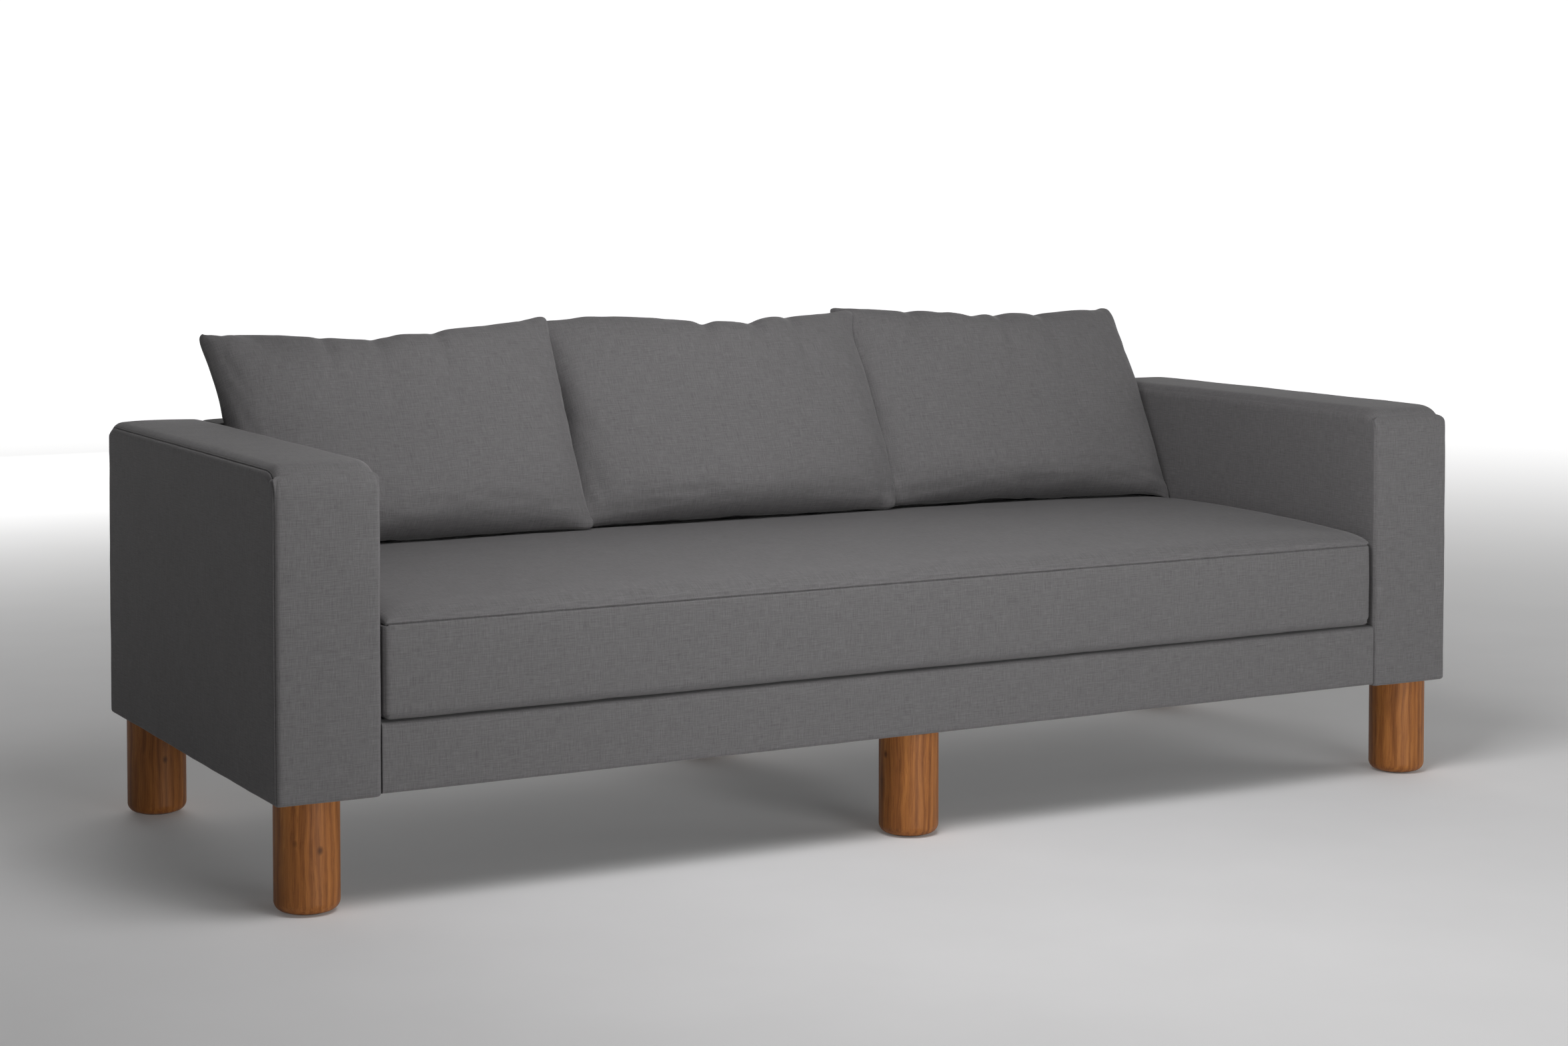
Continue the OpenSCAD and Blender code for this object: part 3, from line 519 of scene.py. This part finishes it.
def sewn_case(name, seed):
    """Two flat sheets that share one sewn edge, a little apart inside it. X across, -Y to the front, Z up."""
    nu, nv = round(PILLOW_WIDE / PILLOW_CELL), round(PILLOW_HIGH / PILLOW_CELL)
    draw = random.Random(seed)
    index, points, quads, uvs, grids = {}, [], [], [], []
    for side in (-1, 1):
        for i in range(nu + 1):
            for j in range(nv + 1):
                key = (0 if i in (0, nu) or j in (0, nv) else side, i, j)
                if key not in index:
                    index[key] = len(points)
                    u, v = i / nu, j / nv
                    lift = side * SHEET_GAP * max(math.sin(math.pi * u) * math.sin(math.pi * v), 0) ** 0.5
                    lift += draw.uniform(-JITTER_MM, JITTER_MM) * MM
                    points.append(((u - 0.5) * PILLOW_WIDE, lift, v * PILLOW_HIGH))
        for i in range(nu):
            for j in range(nv):
                ring = [(i, j), (i + 1, j), (i + 1, j + 1), (i, j + 1)]
                ring = ring if side < 0 else ring[::-1]
                quads.append([index[(0 if a in (0, nu) or b in (0, nv) else side, a, b)] for a, b in ring])
                uvs += [(a * PILLOW_CELL + side * 0.4, b * PILLOW_CELL) for a, b in ring]
        grids.append(np.array([[index[(0 if i in (0, nu) or j in (0, nv) else side, i, j)]
                                for j in range(nv + 1)] for i in range(nu + 1)]))
    seam = {index[key] for key in index if key[0] == 0}
    case = make_object(name, points, quads, linen, uvs)
    return case, seam, grids


def calm(points, grids, passes, share):
    """Evens out the folds of each sheet, by a share that is given for each point."""
    for grid in grids:
        inner = grid[1:-1, 1:-1]
        keep = 1 - share[inner][..., None]
        for _ in range(passes):
            around = (points[grid[:-2, 1:-1]] + points[grid[2:, 1:-1]]
                      + points[grid[1:-1, :-2]] + points[grid[1:-1, 2:]]) / 4
            points[inner] = keep * points[inner] + (1 - keep) * around


def inflate(piece, frames):
    """The points of a sewn case blown up with Blender's cloth. No cloth is left on the piece."""
    scene = bpy.context.scene
    cloth = piece.modifiers.new("cloth", "CLOTH")
    settings = cloth.settings
    settings.quality = 6
    settings.mass = 0.3
    settings.tension_stiffness = settings.compression_stiffness = 30
    settings.shear_stiffness = 12
    settings.bending_stiffness = 0.25
    settings.use_pressure = True
    settings.uniform_pressure_force = PRESSURE
    settings.effector_weights.gravity = 0
    cloth.collision_settings.use_collision = False
    cloth.point_cache.frame_start, cloth.point_cache.frame_end = 1, frames
    for number in range(1, frames + 1):
        scene.frame_set(number)
    settled = piece.evaluated_get(bpy.context.evaluated_depsgraph_get()).to_mesh()
    points = np.empty(len(settled.vertices) * 3)
    settled.vertices.foreach_get("co", points)
    piece.modifiers.remove(cloth)
    scene.frame_set(1)
    return points.reshape(-1, 3)


def straighten(points, grids, share, trims):
    """Takes out a share of the bow that inflation gave each seam, then trims it. share: (bottom, top, left,
    right). trims: for (top, left, right), places along the seam from 0 to 1 and shifts in millimetres."""
    grid = grids[0]
    u = np.linspace(0, 1, grid.shape[0])[:, None]
    v = np.linspace(0, 1, grid.shape[1])[None, :]

    def bow(line, axis):
        level = points[line, axis]
        return np.linspace(level[0], level[-1], len(level)) - level

    shift = np.zeros((2,) + grid.shape)
    shift[0] += share[2] * bow(grid[0], X)[None, :] * (1 - u) ** 1.5
    shift[0] += share[3] * bow(grid[-1], X)[None, :] * u ** 1.5
    shift[1] += share[0] * bow(grid[:, 0], Z)[:, None] * (1 - v) ** 1.5
    shift[1] += share[1] * bow(grid[:, -1], Z)[:, None] * v ** 1.5
    top, left, right = [np.interp(w.ravel(), *np.array(trim).T) * MM for w, trim in zip((u, v, v), trims)]
    shift[1] += top[:, None] * v ** 7
    shift[0] += left[None, :] * (1 - u) ** 7 + right[None, :] * u ** 7
    move = np.zeros_like(points)
    for each in grids:
        move[each, X] = shift[0]
        move[each, Z] = shift[1]
    points += move


def pull_tips(points, out, up, reach=0.035):
    """Draws the four corners out into the points that a sewn case keeps when it is filled."""
    middle = points[:, 2].mean()
    for x_end in (points[:, 0].min(), points[:, 0].max()):
        for z_end in (points[:, 2].min(), points[:, 2].max()):
            near = np.exp(-((points[:, 0] - x_end) ** 2 + (points[:, 2] - z_end) ** 2) / reach ** 2)
            points[:, 0] += near * out * np.sign(x_end)
            points[:, 2] += near * up * np.sign(z_end - middle)


def blunt_corners(points, grid, passes, reach=2.5):
    """Rounds the seam where it turns at each corner. reach is in grid steps."""
    across, up = grid.shape[0] - 1, grid.shape[1] - 1
    loop = np.concatenate((grid[:-1, 0], grid[-1, :-1], grid[:0:-1, -1], grid[0, :0:-1]))
    steps = np.arange(len(loop))
    turns = np.array((0, across, across + up, 2 * across + up))[:, None]
    away = np.abs(steps - turns)
    away = np.minimum(away, len(loop) - away).min(axis=0)
    share = 0.5 * np.exp(-(away / reach) ** 2)[:, None]
    for _ in range(passes):
        rim = points[loop]
        points[loop] += share * ((np.roll(rim, 1, axis=0) + np.roll(rim, -1, axis=0)) / 2 - rim)


def work_seams(points, notches, seed):
    """Notches the top seam, puckers the cloth along every seam and gives the faces their slow lumps."""
    low, size = points.min(axis=0), np.ptp(points, axis=0)
    u, v = (points[:, 0] - low[0]) / size[0], (points[:, 2] - low[2]) / size[2]
    side = np.sign(points[:, 1])
    to_top, to_foot = (1 - v) * size[2], v * size[2]
    to_side = np.minimum(u, 1 - u) * size[0]
    for place, deep in notches:
        away = np.abs(u - place) * size[0]
        points[:, 2] -= deep * np.exp(-away / 0.018) * np.exp(-to_top / 0.035)
        points[:, 1] *= 1 - 0.35 * np.exp(-(away / 0.012) ** 2) * np.exp(-to_top / 0.06)

    def waves(along, rate, shift):
        return np.array([noise.noise(Vector((a * rate, shift + s, seed))) for a, s in zip(along, side)])

    def creases(along, up, shift):
        """Sharp-edged furrows, 0 to 1. along and up are the places in the noise."""
        places = zip(along, up, side)
        return np.array([abs(noise.noise(Vector((a, b, s + shift)))) for a, b, s in places]) ** 0.8

    width, height = u * size[0], v * size[2]
    near_foot = np.exp(-((to_foot - 0.035) / 0.05) ** 2)
    near_side = np.exp(-((to_side - 0.04) / 0.045) ** 2)
    lumps = ripple(np.stack((width, side, height), axis=1), 7, seed, 2)
    puckers = waves(width, 42, 0) * (np.exp(-to_top / 0.03) + np.exp(-to_foot / 0.05))
    puckers += waves(height, 42, 5) * np.exp(-to_side / 0.03)
    points[:, 1] += 1.6 * MM * puckers
    points[:, 1] += 6.5 * MM * waves(width, 14, 9) * np.exp(-to_foot / 0.04)
    points[:, 1] -= 5.5 * MM * side * creases(width * 7, height * 62, seed) * near_foot
    points[:, 1] -= 6.0 * MM * side * creases(width * 48 + height * 12, height * 8, -seed) * near_side
    points[:, 1] += 3.5 * MM * lumps * np.clip(to_side / 0.1, 0, 1)


def lean(points, centre, turn, roll):
    """Stands the pillow on its foot and leans it back: x, y, z of each point. Its rear is to the back."""
    tall = np.linalg.norm(HEAD - FOOT)
    up = (HEAD - FOOT) / tall
    rear = np.array((up[1], -up[0]))
    bottom, top = points[:, 2].min(), points[:, 2].max()
    v = (points[:, 2] - bottom) / (top - bottom)
    across = points[:, 0] * PILLOW_SPAN / np.ptp(points[:, 0])
    thick = points[:, 1] * (FOOT_THICK + (HEAD_THICK - FOOT_THICK) * v)
    along = v * tall
    x = centre + across * math.cos(turn)
    y = FOOT[0] + along * up[0] + thick * rear[0] - across * math.sin(turn)
    z = FOOT[1] + along * up[1] + thick * rear[1] + across * math.sin(roll) * v
    heel = FOOT[0] * np.ones(len(x))
    z += (seat_top(x, heel) - seat_top(np.zeros(len(x)), heel)) * np.clip(1 - 1.5 * v, 0, 1) ** 2
    return x, y, z


def settle(side, x, y, z):
    """Flattens the pillow where it meets the back, the seat and the arms. A few hundredths of the overlap stay,
    so that the flattened cloth keeps its relief."""
    back_low, back_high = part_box("back_cover")
    rest_y, rest_z = back_low[Y] - BACK_GAP, back_high[Z] + BACK_OVER
    behind, above = y - rest_y, rest_z - z
    press = (behind > 0) & (above > 0)
    y = np.where(press & (behind <= above), rest_y + 0.02 * (y - rest_y), y)
    z = np.where(press & (behind > above), rest_z + 0.02 * (z - rest_z), z)
    zip_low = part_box(f"pillow_{side}_zip")[0]
    over_zip = np.clip((y - zip_low[Y] + ZIP_REACH) / ZIP_FADE, 0, 1)
    over_zip = over_zip ** 2 * (3 - 2 * over_zip)
    floor = seat_top(x, y) + SEAT_GAP
    floor += over_zip * (zip_low[Z] + ZIP_GAP - floor)
    z = np.where(z < floor, floor + 0.03 * (z - floor), z)
    arm_low, arm_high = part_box("arm_right_cover")
    past = np.clip(np.abs(x) - (arm_low[X] - ARM_GAP), 0, None)
    held = np.clip((arm_high[Z] + ARM_OVER - z) / ARM_FADE, 0, 1)
    return x - held * np.sign(x) * 0.97 * past, y, z


def make_pillow(side, centre, turn, roll, seed, frames, sag, hems, half_thick, notches, trims):
    """A leaning back pillow. centre: X of its middle. turn and roll, in degrees: how far its right edge swings
    forward and its right end is lifted. frames: how long it is inflated. sag: share of the top seam's bow that
    stays. hems: shares of the side seams' bow that are taken out. notches: places along the top seam, from 0
    to 1, and their depths. trims: see straighten."""
    case, seam, grids = sewn_case(f"pillow_{side}", seed)
    points = inflate(case, frames)
    straighten(points, grids, (1.0, 1 - sag) + hems, trims)
    low = 1 - np.clip(points[:, 2] / points[:, 2].max(), 0, 1)
    calm(points, grids, CALM_PASSES, np.clip(1.6 * low ** 1.5, 0.05, 0.9))
    fill = np.abs(points[:, 1]) / np.abs(points[:, 1]).max()
    points[:, 1] = np.sign(points[:, 1]) * half_thick * fill ** FULLNESS
    pull_tips(points, TIP_OUT, TIP_UP)
    blunt_corners(points, grids[0], CORNER_PASSES)
    work_seams(points, notches, seed)
    placed = settle(side, *lean(points, centre, math.radians(turn), math.radians(roll)))
    case.data.vertices.foreach_set("co", np.stack(placed, axis=1).ravel())
    case.data.update()
    crease = case.data.attributes.new("crease_edge", "FLOAT", "EDGE")
    for edge in case.data.edges:
        if edge.vertices[0] in seam and edge.vertices[1] in seam:
            crease.data[edge.index].value = SEAM_CREASE
    subdivide(case)
    stands_for(case, f"pillow_{side}", (f"pillow_{side}_cover", f"pillow_{side}_insert"))


# trims: the top, left and right seam, each as (place from 0 to 1, shift in millimetres)
PILLOWS = (
    dict(side="left", centre=-0.647, turn=3, roll=1.0, seed=11, frames=26, sag=1.0, hems=(0.2, 0.6),
         half_thick=0.076, notches=((0.32, 5 * MM), (0.46, 8 * MM), (0.635, 6 * MM)),
         trims=(((0, 7), (0.1, 8), (0.33, 7), (0.42, 5), (0.47, 0), (0.53, 10), (0.6, -1), (0.68, 5), (0.8, 5),
                 (0.95, 5), (1, 12)),
                ((0, 0), (0.5, 10), (0.68, 9), (0.82, 1), (1, -11)),
                ((0, 0), (0.9, 0), (1, -6)))),
    dict(side="center", centre=-0.003, turn=3, roll=0.0, seed=23, frames=25, sag=0.7, hems=(0.5, 0.4),
         half_thick=0.078, notches=((0.475, 9 * MM), (0.63, 8 * MM), (0.76, 4 * MM)),
         trims=(((0, -11), (0.07, -3), (0.14, 6), (0.3, 6), (0.41, 8), (0.475, -12), (0.54, -15), (0.61, -19),
                 (0.69, -1), (0.81, -5), (1, -3)),
                ((0, 0), (1, 0)),
                ((0, -18), (0.08, -3), (0.3, 6), (0.6, 4), (0.85, -5), (1, 3)))),
    dict(side="right", centre=0.620, turn=3, roll=-0.8, seed=37, frames=25, sag=0.55, hems=(0.5, 0.5),
         half_thick=0.076, notches=((0.24, 3 * MM), (0.524, 7 * MM), (0.68, 6 * MM)),
         trims=(((0, 5), (0.11, 6), (0.28, 2), (0.35, -3), (0.46, -1), (0.52, -6), (0.58, -1), (0.65, -6),
                 (0.75, -8), (0.85, -3), (0.95, -4), (1, 5)),
                ((0, 0), (1, 6)),
                ((0, 0), (0.5, -4), (0.8, -8), (0.93, -12), (1, -20)))),
)


# ---------- stage ----------

CAMERA_PLACE = (-2.5044, -4.5000, 1.1133)
CAMERA_TURN = -28.846
CAMERA_DIP = 2.5
LENS_MM, SENSOR_MM = 66.6, 36
FRAME_SHIFT = -0.1465
FAR_PLANE = 60


def make_camera():
    """The viewing angle: 29 degrees from the left, a little above the arms, with a long lens."""
    data = bpy.data.cameras.new("camera")
    data.sensor_width = SENSOR_MM
    data.lens = LENS_MM
    data.shift_y = FRAME_SHIFT
    data.clip_end = FAR_PLANE
    camera = bpy.data.objects.new("camera", data)
    camera.location = CAMERA_PLACE
    camera.rotation_euler = (math.radians(90 - CAMERA_DIP), 0, math.radians(CAMERA_TURN))
    bpy.context.collection.objects.link(camera)
    bpy.context.scene.camera = camera


def area_light(name, place, target, size, watts, colour):
    data = bpy.data.lights.new(name, "AREA")
    data.shape = "RECTANGLE"
    data.size, data.size_y = size
    data.energy = watts
    data.color = colour
    light = bpy.data.objects.new(name, data)
    light.location = place
    light.rotation_euler = (Vector(target) - Vector(place)).to_track_quat("-Z", "Y").to_euler()
    bpy.context.collection.objects.link(light)


# name, place, what it faces, size, watts, colour
LIGHTS = (
    ("front_box", (0.35, -4.5, 0.62), (0.2, 0, 0.30), (2.2, 1.05), 83, (1.0, 1.0, 1.0)),
    ("seat_box", (-0.50, -0.95, 2.05), (1.0, 0.0, 0.55), (1.1, 1.2), 30, (1.0, 0.99, 1.0)),
    ("side_box", (3.6, -2.0, 1.2), (0.2, 0, 0.2), (1.6, 1.6), 16, (1.0, 1.0, 1.0)),
    ("rear_box", (0.2, 6.5, 1.3), (0.0, 0.4, 0.40), (3.6, 1.6), 62, (1.0, 1.0, 1.0)),
)
SKY_LEVEL = 0.03
BACKDROP_LEVEL = 1.1
BACKDROP_FACING = (0.48, 0.88, 0.0)
BACKDROP_EDGES = (0.45, 0.93)
FLOOR_TONES = ((0.3, (0.78, 0.78, 0.78)), (0.7, (0.81, 0.81, 0.81)))
FLOOR_GLOW = {"From Min": 1.0, "From Max": 9.0, "To Min": 0.05, "To Max": 1.0}
FLOOR_REACH = 80.0


def make_floor():
    """A pale floor that brightens with distance, so that it meets the backdrop without a line."""
    n = Nodes("pale_floor")
    n.set(Base_Color=n.ramp(n.noise(n.coords((3, 3, 3)), 3), FLOOR_TONES))
    away = n.add("VectorMath", {0: n.add("TexCoord").outputs["Object"]}, operation="LENGTH").outputs["Value"]
    glow = n.add("MapRange", {"Value": away, **FLOOR_GLOW}, interpolation_type="SMOOTHSTEP")
    n.set(Emission_Color=(1, 1, 1, 1), Emission_Strength=glow, Roughness=0.9, Specular_IOR_Level=0.1)
    corners = [(x * FLOOR_REACH, y * FLOOR_REACH, 0) for x, y in ((-1, -1), (1, -1), (1, 1), (-1, 1))]
    floor = make_object("floor", corners, [(0, 1, 2, 3)], n.material)


def make_sky():
    """Dim all round, and near white behind the sofa."""
    world = bpy.data.worlds.new("studio")
    bpy.context.scene.world = world
    world.use_nodes = True
    tree = world.node_tree
    direction = tree.nodes.new("ShaderNodeTexCoord").outputs["Generated"]
    facing = tree.nodes.new("ShaderNodeVectorMath")
    facing.operation = "DOT_PRODUCT"
    facing.inputs[1].default_value = BACKDROP_FACING
    tree.links.new(direction, facing.inputs[0])
    graded = tree.nodes.new("ShaderNodeMapRange")
    graded.interpolation_type = "SMOOTHSTEP"
    for key, number in zip(("From Min", "From Max", "To Min", "To Max"),
                           (*BACKDROP_EDGES, SKY_LEVEL, BACKDROP_LEVEL)):
        graded.inputs[key].default_value = number
    tree.links.new(facing.outputs["Value"], graded.inputs["Value"])
    background = tree.nodes["Background"]
    tree.links.new(graded.outputs["Result"], background.inputs["Strength"])
    background.inputs["Color"].default_value = (1.0, 0.99, 0.98, 1)


def make_stage():
    make_floor()
    make_sky()
    for light in LIGHTS:
        area_light(*light)
    bpy.context.scene.view_settings.view_transform = "Standard"


make_camera()
make_stage()
dress_cad_nodes()
make_arm("left", seed=2)
make_arm("right", seed=4)
make_back()
make_front_rail()
make_seat()
for pillow in PILLOWS:
    make_pillow(**pillow)
